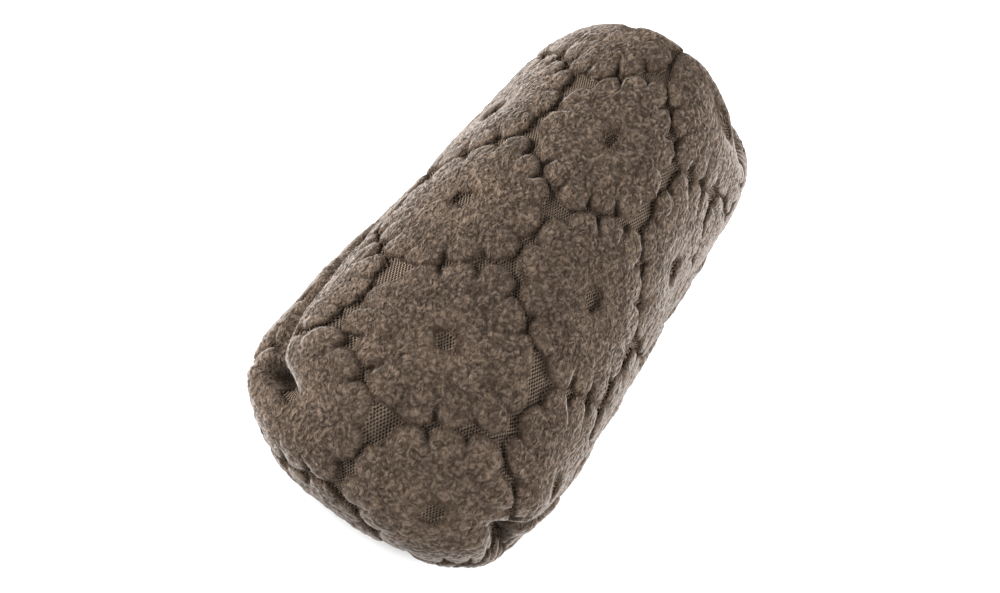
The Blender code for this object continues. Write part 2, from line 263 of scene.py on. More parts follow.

# The pile's tone, from 0 at the roots to 1 at the tips, is painted light: its middle, how much the curls are
# painted lighter on top and darker in their gaps, the painted highlight on the puffed rim of a flower, the
# painted shade in the creases, and where painted shade darkens the flower's foot.
PILE_TONE = 0.53
CURL_PAINTED_LIGHT = 0.7
CREASE_PAINTED_SHADE = 0.7
RIM_PAINTED_HIGHLIGHT = 0.16
RIM_DEPTH = 4.5
RIM_WIDTH = 3.0
FOOT_PAINTED_SHADE = (-0.6, 2.2)

# The finishes: the fabric's millimetres in one unit of its UV map, tones as lowest and highest factor,
# finenesses in bumps for a metre, and bumps in metres.
FABRIC_UNIT = 100.0
KNIT_HOLE = (-0.05, 0.6)
KNIT_HEIGHT = -0.5
TONE_RANGE = (0.3, 0.7)
SLOW_FINENESS = 55.0
TUFT_FINENESS = 400.0
TUFT_CURL = 1.3
TUFT_RANGE = (0.3, 0.66)
TUFT_UNSHADED = (0.28, 1.0)
FUZZ_FINENESS = 850.0
FUZZ_TONE = (0.84, 1.16)
SLOW_TONE = (0.9, 1.1)
PILE_BUMP = 0.0021
FIBRE_ROUGHNESS = 0.95
FIBRE_SPECULAR = 0.08
SHEEN_ROUGHNESS = 0.45
SHEEN_TINT = (1.0, 0.96, 0.93, 1.0)
SHEEN_SHARE = 0.07
PILE_SHEEN = 0.74
KNIT_SHEEN = 0.15
# Painted sheen: where the surface turns from the view the rim colour is mixed into the pile's colour, more
# where its tone is high.
PAINTED_SHEEN_FACING = (0.35, 1.0)
PAINTED_SHEEN_BY_TONE = (0.1, 0.5)
LINING_FINENESS = 700.0
LINING_SHEEN = 0.4
LINING_SLOW_TONE = (0.86, 1.12)
LINING_FUZZ_TONE = (0.8, 1.15)
LINING_BUMP = 0.0012
GRAIN_FINENESS = 2600.0
GRAIN_TONE = (0.93, 1.07)
GRAIN_ROUGHNESS = (-0.08, 0.12)
GRAIN_BUMP = 0.00012
GRAIN_STRENGTH = 0.5
RUBBER_SPECULAR = 0.3

# The studio: the floor glows softly beyond the slipper, so that it runs on into the white behind it.
FLOOR_REACH = 6.0
FLOOR_ROUGHNESS = 0.9
FLOOR_FINENESS = 40.0
FLOOR_TONE = (0.995, 1.0)
GLOW_DISTANCE = (0.3, 0.9)
GLOW_STRENGTH = (0.0, 0.95)
SENSOR_WIDTH = 36.0
STUDIO_LIGHTS = (
    {"name": "left", "place": (0.30, -0.95, 0.20), "size": 0.8, "power": 55.0},
    {"name": "behind", "place": (-0.95, 0.1, 0.40), "size": 0.9, "power": 23.0},
    {"name": "right", "place": (-0.1, 0.95, 0.30), "size": 0.8, "power": 32.0},
    {"name": "front", "place": (1.1, 0.0, 0.5), "size": 1.0, "power": 6.5},
)


def size_setting(name, description, default):
    """A setting for a size in millimetres."""
    return bpy.props.FloatProperty(name=name, description=description, default=default)


def angle_setting(name, description, default):
    """A setting for an angle, with its default in degrees."""
    return bpy.props.FloatProperty(
        name=name, description=description, subtype="ANGLE", default=math.radians(default)
    )


def colour_setting(name, description, default):
    """A setting for a colour."""
    return bpy.props.FloatVectorProperty(
        name=name, description=description, subtype="COLOR", size=4, default=default
    )


class SlipperFleece(bpy.types.PropertyGroup):
    """Sizes, in millimetres, and colours of the fleece."""

    flower_along: size_setting("Flower repeat along", "Repeat of the flowers from toe to heel, in mm", 101.4)
    flower_across: size_setting("Flower repeat across", "Repeat of the flowers across the foot, in mm", 67.9)
    start_along: size_setting("First flower along", "A flower's middle, from the toe's end, in mm", 68.4)
    start_across: size_setting("First flower across", "A flower's middle, from the middle line, in mm", -1.7)
    lattice_turn: angle_setting("Lattice turn", "Turn of the flower lattice on the fabric", 3.4)
    gap: size_setting("Gap", "Gap between two flowers before the pile spreads, in mm", 0.4)
    lobes: bpy.props.IntProperty(name="Lobes", description="Lobes round one flower", default=13)
    flower_radius: size_setting("Flower radius", "Largest reach from a flower's middle, in mm", 38.0)
    lobe_radius: size_setting("Lobe radius", "Radius of one round lobe, in mm", 7.6)
    notch: size_setting("Notch", "Depth of the notch between two lobes, in mm", 3.2)
    eye: size_setting("Eye", "Radius of a flower's bare middle before the pile spreads, in mm", 4.2)
    pile: size_setting("Pile", "Step from the knit up to the pile's edge, in mm", 2.5)
    curl_pitch: size_setting("Curl pitch", "Width of one curl and its gap, in mm", 1.3)
    curl_bend: size_setting("Curl bend", "How far the curls are bent about, in mm", 1.2)
    curl_height: size_setting("Curl height", "Height of a curl over its gaps, in mm", 0.45)
    knit_row: size_setting("Knit row", "Distance between two rows of holes in the knit, in mm", 1.04)
    knit_column: size_setting("Knit column", "Distance between two holes of a row, in mm", 1.24)
    # The roots' colour is painted shade, which the pile takes in its gaps, its creases and at its foot.
    painted_shade_colour: colour_setting("Roots", "Colour between the curls", (0.030, 0.0180, 0.0105, 1.0))
    tip_colour: colour_setting("Tips", "Colour of the curls' tips", (0.166, 0.119, 0.086, 1.0))
    knit_colour: colour_setting("Knit", "Colour of the knit's yarn", (0.165, 0.121, 0.089, 1.0))
    # The holes' colour is painted shade in the knit's open holes.
    hole_shade_colour: colour_setting("Holes", "Colour in the knit's holes", (0.012, 0.008, 0.005, 1.0))
    # The rim colour is a painted sheen, mixed into the pile's colour where its surface turns from the view.
    painted_sheen_colour: colour_setting("Rim", "Sheen of the fibres at the pile's rim", (0.40, 0.362, 0.335, 1.0))
    lining_colour: colour_setting("Lining", "Colour of the short lining nap", (0.20, 0.158, 0.125, 1.0))


class SlipperGrips(bpy.types.PropertyGroup):
    """Finish of the rubber grips."""

    colour: colour_setting("Rubber", "Colour of the grips", (0.072, 0.081, 0.098, 1.0))
    roughness: bpy.props.FloatProperty(
        name="Roughness", description="Roughness of the rubber", subtype="FACTOR",
        min=0.0, max=1.0, default=0.5,
    )


class SlipperStage(bpy.types.PropertyGroup):
    """Camera and light of the studio."""

    azimuth: angle_setting("Azimuth", "Camera's turn round the slipper", 99.8)
    elevation: angle_setting("Elevation", "Camera's height over the floor", 49.2)
    roll: angle_setting("Roll", "Camera's roll about its own line of sight", 26.6)
    distance: bpy.props.FloatProperty(
        name="Distance", description="Camera's distance from its target", unit="LENGTH", default=0.5
    )
    lens: size_setting("Lens", "Focal length, in mm", 45.8)
    target: bpy.props.FloatVectorProperty(
        name="Target", description="Point that the camera looks at", subtype="TRANSLATION", size=3,
        default=(0.0245, -0.001, 0.044),
    )
    floor_colour: colour_setting("Floor", "Colour of the floor", (0.86, 0.86, 0.86, 1.0))
    sky: bpy.props.FloatProperty(name="Sky", description="Strength of the even light", default=0.2)


def smooth(low, high, value):
    """0 below low, 1 above high and an S-curve between."""
    share = np.clip((value - low) / (high - low), 0.0, 1.0)
    return share * share * (3.0 - 2.0 * share)


def unit(vectors):
    """Vectors made one long."""
    return vectors / np.maximum(np.linalg.norm(vectors, axis=-1, keepdims=True), 1e-9)


def quarter(share, roundness):
    """Height of a unit superellipse quarter at this share of its width."""
    inside = 1.0 - np.clip(share, 0.0, 1.0) ** roundness
    return inside ** (1.0 / roundness)


def half_width(x, inset):
    """Half the width of the plan outline at station x, with the outline drawn in by inset."""
    ball = BALL_HALF_WIDTH - inset
    heel = HEEL_HALF_WIDTH - inset
    side = heel + (ball - heel) * smooth(HEEL_STATION, BALL_STATION, x)
    toe = quarter((x - BALL_STATION) / (TOE_END - inset - BALL_STATION), TOE_BLUNTNESS)
    back = quarter((HEEL_STATION - x) / (HEEL_STATION - HEEL_END - inset), HEEL_BLUNTNESS)
    return side * toe * back


def top_line(x):
    """Height of the instep along the middle of the foot, rounded down to the nose and to the heel."""
    share = (TOE_END - x) / (TOE_END - CREST_STATION)
    ramp = TOE_RAMP_HEIGHT + (CREST_HEIGHT - TOE_RAMP_HEIGHT) * share
    ramp = ramp + INSTEP_BULGE * np.sin(np.pi * np.clip(share, 0.0, 1.0))
    toe = quarter((x - TOE_TOP_STATION) / (TOE_END - TOE_TOP_STATION), TOP_ROUNDNESS)
    back = quarter((HEEL_TOP_STATION - x) / (HEEL_TOP_STATION - HEEL_END), TOP_ROUNDNESS)
    return EDGE_HEIGHT + (ramp - EDGE_HEIGHT) * toe * back


def roof(x, y):
    """Height of the instep over a point of the plan: a superellipse section at each station."""
    width = np.maximum(half_width(x, 0.0), 1e-6)
    rise = top_line(x) - EDGE_HEIGHT
    return EDGE_HEIGHT + rise * quarter(np.abs(y) / width, SECTION_ROUNDNESS)


def smooth_curve(knots, values, at):
    """A smooth curve through values at knots: cubic pieces with slopes taken from the neighbours."""
    slopes = np.gradient(values, knots)
    place = np.clip(np.searchsorted(knots, at) - 1, 0, len(knots) - 2)
    step = knots[place + 1] - knots[place]
    share = (at - knots[place]) / step
    rest = 1.0 - share
    ends = values[place] * rest**2 * (1.0 + 2.0 * share) + values[place + 1] * share**2 * (1.0 + 2.0 * rest)
    turns = slopes[place] * share * rest**2 - slopes[place + 1] * share**2 * rest
    return ends + turns * step


def table_column(rows, name):
    """One column of a table, as an array."""
    return np.array([row[name] for row in rows])


def seam_table(name, x, y):
    """One column of the seams' tables at stations x, from the table of the side that y lies on."""
    right, left = (
        smooth_curve(table_column(rows, "station"), table_column(rows, name), x)
        for rows in (SEAM_RIGHT, SEAM_LEFT)
    )
    return np.where(y < 0.0, right, left)


def outline_stations(count):
    """Stations from the toe's end to the heel's end, evenly spaced along the plan outline."""
    angle = np.linspace(0.0, np.pi, OUTLINE_SAMPLES)
    x = 0.5 * (TOE_END + HEEL_END) + 0.5 * (TOE_END - HEEL_END) * np.cos(angle)
    y = half_width(x, 0.0)
    run = np.concatenate([[0.0], np.cumsum(np.hypot(np.diff(x), np.diff(y)))])
    return np.interp(np.linspace(0.0, run[-1], count), run, x)


def inset_stations(x, inset):
    """The same stations on the outline drawn in by inset: the two ends shrink towards the foot."""
    toe_share = (x - BALL_STATION) / (TOE_END - BALL_STATION)
    heel_share = (HEEL_STATION - x) / (HEEL_STATION - HEEL_END)
    moved = np.where(toe_share > 0.0, BALL_STATION + toe_share * (TOE_END - inset - BALL_STATION), x)
    return np.where(heel_share > 0.0, HEEL_STATION - heel_share * (HEEL_STATION - HEEL_END - inset), moved)


def collar_line(share):
    """The collar's edge on one side, from the crest at share 0 to the back at share 1: a smooth curve."""
    edge = np.stack([table_column(COLLAR, name) for name in ("along", "across", "height")], axis=1)
    mirrored = edge * [1.0, -1.0, 1.0]
    edge = np.concatenate([mirrored[1:3][::-1], edge, mirrored[-3:-1][::-1]])
    run = np.concatenate([[0.0], np.cumsum(np.linalg.norm(np.diff(edge, axis=0), axis=1))])
    at = run[2] + (run[-3] - run[2]) * share
    x, y, z = (smooth_curve(run, edge[:, axis], at) for axis in range(3))
    y[0] = 0.0
    y[-1] = 0.0
    return x, y, z


def even_rows(points, count):
    """Each profile's points spaced evenly along it again, as count rows: every column at once."""
    steps = np.linalg.norm(np.diff(points, axis=0), axis=2)
    run = np.concatenate([np.zeros((1, points.shape[1])), np.cumsum(steps, axis=0)])
    wanted = np.linspace(0.0, 1.0, count)[:, None] * run[-1]
    below = np.sum(run[:, None, :] <= wanted[None], axis=0) - 1
    below = np.clip(below, 0, len(points) - 2)
    low = np.take_along_axis(run, below, axis=0)
    high = np.take_along_axis(run, below + 1, axis=0)
    share = ((wanted - low) / np.maximum(high - low, 1e-9))[:, :, None]
    first = np.take_along_axis(points, below[:, :, None], axis=0)
    second = np.take_along_axis(points, below[:, :, None] + 1, axis=0)
    return first + (second - first) * share


def drawn_in(points):
    """Points with the wall above the side seam drawn in, most just over the seam and less higher up."""
    x, y, z = points[..., 0], points[..., 1], points[..., 2]
    above = z - seam_table("height", x, y)
    reach = smooth(*SEAM_BLEND, above) * np.exp(-np.clip(above, 0.0, None) / SEAM_SHOULDER)
    moved = points.copy()
    moved[..., 1] = y - np.clip(y / SIDE_REACH, -1.0, 1.0) * seam_table("drawn_in", x, y) * reach
    return moved


def skin(columns, edge_rows, upper_rows):
    """The smooth outer skin as rows x columns x 3; columns go once round the shoe.

    Rows go from under the sole's edge, round a rolled edge, and over the roof to the collar. The roof is
    lowered or lifted along each column so that it ends on the collar's edge.
    """
    stations = outline_stations(columns // 2 + 1)
    angles = np.radians(np.linspace(FIRST_ANGLE, 0.0, edge_rows + 1))[:, None]
    inset = EDGE_INSET * (1.0 - np.cos(angles))
    x = inset_stations(stations[None, :], inset)
    z = np.broadcast_to(EDGE_HEIGHT * (1.0 + np.sin(angles)), x.shape)
    rolled = np.stack([x, half_width(x, inset), z], axis=2)
    way = np.linspace(0.0, 1.0, len(stations))
    spread = COLLAR_SPREAD + COLLAR_HEEL_SPREAD * smooth(*COLLAR_HEEL_WAY, way)
    rim_x, rim_y, rim_z = collar_line(way**spread)
    share = (0.5 - 0.5 * np.cos(np.linspace(0.0, np.pi, FINE_SAMPLES))[:, None]) ** SAMPLE_CROWDING
    x = stations + (rim_x - stations) * share
    y = half_width(stations, 0.0) + (rim_y - half_width(stations, 0.0)) * share
    z = roof(x, y) + (rim_z - roof(rim_x, rim_y)) * share
    z[0] = EDGE_HEIGHT
    upper = np.stack([x, y, z], axis=2)
    sides = []
    for mirror in ([1.0, 1.0, 1.0], [1.0, -1.0, 1.0]):
        wall = even_rows(drawn_in(upper * mirror), upper_rows + 1)
        sides.append(np.concatenate([rolled[:-1] * mirror, wall]))
    return np.concatenate([sides[0], sides[1][:, -2:0:-1]], axis=1)


def normals_of(grid):
    """Unit normals of a grid whose columns close into a ring, pointing out of the shoe."""
    along = np.roll(grid, -1, axis=1) - np.roll(grid, 1, axis=1)
    up = np.gradient(grid, axis=0)
    normal = unit(np.cross(along, up))
    outward = grid - grid.mean(axis=(0, 1))
    return normal if np.sum(normal * outward) > 0.0 else -normal


def with_toe_spring(points):
    """Points lifted by the toe spring of the sole under them."""
    lifted = np.array(points, dtype=float)
    share = np.clip((lifted[..., 0] - TOE_SPRING_START) / (TOE_END - TOE_SPRING_START), 0.0, None)
    lifted[..., 2] += TOE_SPRING * share**2
    return lifted


def fabric_place(grid, normal):
    """Where a point lies on the flat fabric: millimetres along from the toe and across from the middle.

    Over the instep and down the sides it is the run along the top line and the run along the section.
    On the nose it is the height and the distance from the middle line, and round the heel, up to the seam at
    its back, it is the run round the heel and the height.
    """
    x, y, z = grid[..., 0], grid[..., 1], grid[..., 2]
    line = np.linspace(TOE_END, HEEL_TOP_STATION, TOP_SAMPLES)
    run = np.concatenate([[0.0], np.cumsum(np.hypot(np.diff(line), np.diff(top_line(line))))])
    along = np.interp(-x, -line, run) + np.clip(HEEL_TOP_STATION - x, 0.0, None)
    width = np.maximum(half_width(x, 0.0), 1.0)
    rise = np.maximum(top_line(np.maximum(x, HEEL_TOP_STATION)) - EDGE_HEIGHT, 1.0)
    angle = np.arctan2((z - EDGE_HEIGHT) / rise, np.abs(y) / width)
    reach = 0.5 * np.pi * np.sqrt(0.5 * (width**2 + rise**2)) * SECTION_STRETCH
    across = np.sign(y) * reach * (1.0 - angle / (0.5 * np.pi))
    nose = smooth(*NOSE_TURN, normal[..., 0])
    along = along + (NOSE_ALONG * (z - EDGE_HEIGHT) - along) * nose
    across = across + (NOSE_ACROSS * y - across) * nose
    turn = np.arctan2(np.abs(y), HEEL_TURN_STATION - x)
    behind = np.interp(-HEEL_TURN_STATION, -line, run) + HEEL_TURN_RADIUS * (0.5 * np.pi - turn)
    drop = HEEL_DROP_START - (z - EDGE_HEIGHT)
    back = smooth(*HEEL_STATIONS, x) * smooth(*HEEL_UPRIGHT, np.hypot(normal[..., 0], normal[..., 1]))
    along = along + (behind - along) * back
    across = across + (np.sign(y) * drop - across) * back
    return along, across


def flower_field(along, across, fleece):
    """How far each point of the fabric lies inside its flower, in mm, and how near it is to a crease.

    The flowers stand on a centred lattice. A flower is a core with round lobes on its edge, so the depth is
    the larger of the depths inside the core and inside the nearest lobe, and no more than a share of the
    distance to the flower's bare eye; below 0 a point lies outside. A crease runs inwards between two lobes.
    """
    repeat = np.array([fleece.flower_along, fleece.flower_across])
    turn = np.array([math.cos(fleece.lattice_turn), math.sin(fleece.lattice_turn)])
    from_start = np.stack([along - fleece.start_along, across - fleece.start_across], axis=-1)
    place = np.stack([from_start @ turn, from_start @ (turn[::-1] * [-1.0, 1.0])], axis=-1)
    away, distance, phase = None, None, None
    for shift in (0.0, 0.5):
        cell = np.round(place / repeat - shift)
        other = place - (cell + shift) * repeat
        length = np.linalg.norm(other, axis=-1)
        wave = cell[..., 0] * PHASE_WAVES["along"] + cell[..., 1] * PHASE_WAVES["across"]
        hashed = np.modf(np.sin(wave + shift * PHASE_WAVES["shift"]) * PHASE_WAVES["spread"])[0]
        nearer = length < (np.inf if distance is None else distance)
        away = other if away is None else np.where(nearer[..., None], other, away)
        distance = length if distance is None else np.where(nearer, length, distance)
        phase = hashed if phase is None else np.where(nearer, hashed, phase)
    angle = np.arctan2(away[..., 1], away[..., 0])
    lobe_turn = 2.0 * np.pi / fleece.lobes
    nearest = (np.round(angle / lobe_turn - phase) + phase) * lobe_turn
    lobe_reach = flower_reach(nearest, repeat, fleece) - fleece.lobe_radius
    lobe_middle = np.stack([np.cos(nearest), np.sin(nearest)], axis=-1) * lobe_reach[..., None]
    lobe = fleece.lobe_radius - np.linalg.norm(away - lobe_middle, axis=-1)
    core = flower_reach(angle, repeat, fleece) - fleece.notch - distance
    sideways = (0.5 * lobe_turn - np.abs(angle - nearest)) * distance
    crease = np.exp(-((sideways / CREASE_WIDTH) ** 2)) * np.exp(-np.clip(core, 0.0, None) / CREASE_REACH)
    return np.minimum(np.maximum(lobe, core), (distance - fleece.eye) * EYE_SOFTNESS), crease


def flower_reach(angle, repeat, fleece):
    """Distance from a flower's middle to its edge: the rounded cell of the lattice, less half a gap.

    It is a soft minimum of the radius and of the distances to the lines half way to six neighbours: the sum
    of their powers of -n, to the power -1/n.
    """
    total = (fleece.flower_radius ** -CELL_ROUNDING) * np.ones_like(angle)
    for neighbour in ((0.5, 0.5), (0.5, -0.5), (-0.5, 0.5), (-0.5, -0.5), (0.0, 1.0), (0.0, -1.0)):
        toward = np.array(neighbour) * repeat
        half = 0.5 * np.linalg.norm(toward) - 0.5 * fleece.gap
        facing = np.clip(np.cos(angle - math.atan2(toward[1], toward[0])), 0.0, None)
        total = total + (facing / half) ** CELL_ROUNDING
    return total ** (-1.0 / CELL_ROUNDING)


def gradient_noise(points, seed):
    """Smooth noise from about -1 to 1, a bump for each unit: random slopes on a cubic lattice, blended."""
    source = np.random.default_rng(seed)
    slopes = unit(source.normal(size=(NOISE_SLOPES, 3)))
    order = source.permutation(NOISE_SLOPES)
    cell = np.floor(points).astype(np.int64)
    local = points - cell
    fade = local**3 * (local * (local * 6.0 - 15.0) + 10.0)
    total = np.zeros(points.shape[:-1])
    for corner in itertools.product((0, 1), repeat=3):
        at = (cell + corner) % NOISE_SLOPES
        number = order[(order[(order[at[..., 0]] + at[..., 1]) % NOISE_SLOPES] + at[..., 2]) % NOISE_SLOPES]
        weight = np.prod(np.where(corner, fade, 1.0 - fade), axis=-1)
        total = total + weight * np.sum(slopes[number] * (local - corner), axis=-1)
    return NOISE_GAIN * total


def curl_relief(points, fleece):
    """The pile's height from 0, in a gap, to 1, on a curl: noise on a bent lattice, so its bumps run on."""
    bend = np.stack([gradient_noise(points / CURL_BEND_LENGTH, seed) for seed in (1, 2, 3)], axis=-1)
    return smooth(*CURL_RANGE, gradient_noise((points + fleece.curl_bend * bend) / fleece.curl_pitch, 4))


def pile_form(points, inside, crease, fleece):
    """The pile's height over the knit in mm, its share from 0 to 1, its tone with the painted shade and
    highlight, and where it has its sheen.

    The pile's edge is a quarter round: at a depth d inside the flower it is sqrt(1 - (1 - d / r)^2).
    """
    inside = inside + PILE_SPREAD + PILE_RAGGED * gradient_noise(points / PILE_RAGGED_LENGTH, 5)
    share = np.sqrt(1.0 - (1.0 - np.clip(inside / PILE_EDGE, 0.0, 1.0)) ** 2)
    relief = curl_relief(points, fleece)
    lumps = LUMP_HEIGHT * gradient_noise(points / LUMP_LENGTH, 6)
    lively = share * (EDGE_CALM + (1.0 - EDGE_CALM) * smooth(*EDGE_CALM_REACH, inside))
    crown = PILE_CROWN * smooth(0.0, PILE_CROWN_REACH, inside)
    height = share * (fleece.pile + crown - CREASE_DEPTH * crease)
    height = height + (fleece.curl_height * (relief - 0.5) + lumps) * lively
    # Painted light in the tone: a painted highlight on the puffed rim of a flower, curls painted lighter on
    # top and darker in their gaps, and painted shade in the creases and at the flower's foot.
    puffed = RIM_PAINTED_HIGHLIGHT * np.exp(-(((inside - RIM_DEPTH) / RIM_WIDTH) ** 2))
    tone = PILE_TONE + puffed + CURL_PAINTED_LIGHT * (relief - 0.5) * lively
    tone = tone * (1.0 - CREASE_PAINTED_SHADE * crease * share) * smooth(*FOOT_PAINTED_SHADE, inside)
    return height, smooth(*PILE_START, inside), tone, inside > PILE_SHEEN_START


def seam_depth(grid):
    """How far the sunk seams and the folds at the toe draw the skin in: a bell curve across each of them."""
    x, y = grid[..., 0], grid[..., 1]
    above = grid[..., 2] - seam_table("height", x, y)
    depth = seam_table("depth", x, y) * np.exp(-((above / SEAM_HALF_WIDTH) ** 2))
    depth = depth + HEEL_SEAM_DEPTH * np.exp(-((y / HEEL_SEAM_HALF_WIDTH) ** 2)) * (x < HEEL_SEAM_STATION)
    for fold in FOLDS:
        far = ((x - fold["station"]) / fold["along"]) ** 2 + ((above - fold["above"]) / fold["upright"]) ** 2
        depth = depth + fold["depth"] * np.exp(-far) * smooth(*FOLD_SIDE, fold["side"] * y)
    return depth


def sewn_lips(ground):
    """How far each point lies inside the pile that runs on along both sides of the seams, in mm."""
    x, y = ground[..., 0], ground[..., 1]
    above = ground[..., 2] - seam_table("height", x, y)
    unsewn = 1.0 - smooth(*SEAM_SEWN_DEPTH, seam_table("depth", x, y))
    sides = SEAM_LIP - np.abs(above) - SEAM_OUT_OF_REACH * unsewn
    behind = SEAM_LIP - np.abs(y) - SEAM_OUT_OF_REACH * (x > HEEL_SEAM_STATION)
    return np.maximum(sides, behind)


def rolled_collar(ground, normal):
    """Rows that carry the skin round over the collar's edge until it points straight down inside."""
    rise = unit(ground[-1] - ground[-2])
    turned = np.arctan2(normal[-1, :, 2], -rise[:, 2])
    bend = (turned * np.linspace(0.0, 1.0, ROLL_ROWS + 1)[1:, None])[:, :, None]
    return ground[-1] + ROLL_RADIUS * ((np.cos(bend) - 1.0) * normal[-1] + np.sin(bend) * rise)


def carried_on(values, edge_step):
    """A fabric place carried on over the rolled collar at the rate that it has at the collar's edge."""
    step = math.pi * ROLL_RADIUS / ROLL_ROWS
    rate = (values[-1] - values[-1 - RATE_ROWS]) / (RATE_ROWS * edge_step)
    return np.concatenate([values, values[-1] + rate * step * np.arange(1, ROLL_ROWS + 1)[:, None]])


@functools.lru_cache(maxsize=None)
def upper_surface():
    """The upper's plain and dressed points, its normals and seams, its fabric places and the pile's form."""
    fleece = bpy.context.scene.slipper_fleece
    ground = skin(COLUMNS, EDGE_ROWS, UPPER_ROWS)
    normal = normals_of(ground)
    edge_step = np.linalg.norm(ground[-1] - ground[-2], axis=1)
    along, across = (carried_on(values, edge_step) for values in fabric_place(ground, normal))
    lips = sewn_lips(ground)
    sunk = np.concatenate([seam_depth(ground), np.zeros((ROLL_ROWS, COLUMNS))])
    ground = np.concatenate([ground, rolled_collar(ground, normal)])
    normal = normals_of(ground)
    inside, crease = flower_field(along, across, fleece)
    inside[: len(lips)] = np.maximum(inside[: len(lips)], lips)
    height, pile, tone, sheen = pile_form(ground, inside, crease, fleece)
    row = np.arange(len(ground))[:, None]
    hem = HEM_PILE + (1.0 - HEM_PILE) * smooth(0.0, 2.0 * ROLL_ROWS, len(ground) - 1 - row)
    lift = (height - KNIT_SUNK) * smooth(0.0, EDGE_FADE_ROWS, row) * hem - sunk
    return {
        "ground": ground,
        "normal": normal,
        "outer": ground + normal * lift[:, :, None],
        "sunk": np.clip(sunk, 0.0, None)[:, :, None],
        "along": along,
        "across": across,
        "pile": pile,
        # Painted shade where the seams and the folds sink deepest.
        "tone": tone * (1.0 - FOLD_PAINTED_SHADE * smooth(*FOLD_SHADE_DEPTH, sunk)),
        "sheen": sheen,
    }


def grip_places():
    """Name and middle of each grip."""
    middle = (GRIPS_PER_ROW - 1) / 2
    return [
        (f"{row['name']}_c{number + 1}", GRIP_CENTRE + (number - middle) * row["pitch"], row["across"])
        for row in GRIP_ROWS
        for number in range(GRIPS_PER_ROW)
    ]


def hexagon_reach(angle):
    """Distance from a unit hexagon's middle to its edge, flats to heel and toe: a power sum rounds it."""
    spread = np.clip(np.cos(np.asarray(angle)[..., None] - HEXAGON_TURNS), 0.0, None) ** GRIP_SHARPNESS
    return np.sum(spread, axis=-1) ** (-1.0 / GRIP_SHARPNESS)


def hexagon_distance(x, y):
    """How far a point lies outside the nearest grip, as a hexagon's own measure in mm."""
    nearest = np.full(np.shape(x), 1e9)
    for _, middle_x, middle_y in grip_places():
        along = (x - middle_x)[..., None] * np.cos(HEXAGON_TURNS)
        across = (y - middle_y)[..., None] * np.sin(HEXAGON_TURNS)
        nearest = np.minimum(nearest, (along + across).max(axis=-1) - 0.5 * GRIP_FLATS)
    return nearest


@functools.lru_cache(maxsize=None)
def sole_surface():
    """The sole's underside as rings from its edge to its middle line, and the edge where the bed starts."""
    fleece = bpy.context.scene.slipper_fleece
    made = upper_surface()
    columns = slice(None, None, SOLE_COLUMN_STEP)
    outline = made["ground"][0, columns]
    inner = outline - made["normal"][0, columns] * WALL
    inward = unit((inner - outline) * [1.0, 1.0, 0.0])
    edge = outline + inward * MEETING_GAP
    middle = edge * [SOLE_MIDDLE_SHARE, 0.0, 1.0]
    share = np.linspace(0.0, 1.0, SOLE_ROWS)[:, None, None]
    flat = edge + (middle - edge) * share
    x, y = flat[..., 0], flat[..., 1]
    along, across = TOE_END - x, y
    inside, crease = flower_field(along, across, fleece)
    beside = hexagon_distance(x, y)
    inside = np.minimum(inside, beside - SOLE_SEAT_GAP)
    height, pile, tone, sheen = pile_form(flat, inside, crease, fleece)
    seat = SOLE_SEAT_DEPTH * (1.0 - smooth(*SOLE_SEAT_EDGE, beside))
    settled = np.maximum(SOLE_KNIT_HEIGHT - SOLE_PILE_SHARE * height + seat, SOLE_LOWEST)
    run = np.linalg.norm((flat - edge)[..., :2], axis=2)
    rolled = edge[None, :, 2] + (settled - edge[None, :, 2]) * smooth(0.0, SOLE_ROLL, run)
    lip = inner + inward * (MEETING_GAP + LIP_INSET)
    lip[:, 2] = np.maximum(SOLE_TOP, inner[:, 2] + LIP_RISE)
    return {
        "under": np.stack([x, y, rolled], axis=2),
        "along": along,
        "across": across,
        "pile": pile,
        "tone": tone,
        "sheen": sheen,
        "inner": inner + inward * MEETING_GAP,
        "lip": lip,
    }


def patch_quads(rows, columns):
    """Corner numbers of the quads of a plain grid."""
    row = np.arange(rows - 1)[:, None] * columns
    column = np.arange(columns - 1)[None, :]
    corners = [row + column, row + column + 1, row + columns + column + 1, row + columns + column]
    return np.stack(corners, axis=-1).reshape(-1, 4)


def ring_quads(rows, columns):
    """Corner numbers of the quads between neighbouring rows of closed rings."""
    row = np.arange(rows - 1)[:, None] * columns
    column = np.arange(columns)[None, :]
    following = (column + 1) % columns
    corners = [row + column, row + following, row + columns + following, row + columns + column]
    return np.stack(corners, axis=-1).reshape(-1, 4)


def put_mesh(name, points, faces, materials, indices=None):
    """A smooth-shaded mesh object from millimetre points and an array of equal faces."""
    mesh = bpy.data.meshes.new(name)
    corners = faces.shape[1]
    mesh.vertices.add(len(points))
    mesh.vertices.foreach_set("co", (points * MM).astype(np.float32).ravel())
    mesh.loops.add(faces.size)
    mesh.loops.foreach_set("vertex_index", faces.astype(np.int32).ravel())
    mesh.polygons.add(len(faces))
    mesh.polygons.foreach_set("loop_start", np.arange(0, faces.size, corners, dtype=np.int32))
    mesh.polygons.foreach_set("use_smooth", np.ones(len(faces), dtype=bool))
    for material in materials:
        mesh.materials.append(material)
    if indices is not None:
        mesh.polygons.foreach_set("material_index", indices.astype(np.int32))
    mesh.update(calc_edges=True)
    made = bpy.data.objects.new(name, mesh)
    bpy.context.scene.collection.objects.link(made)
    return made


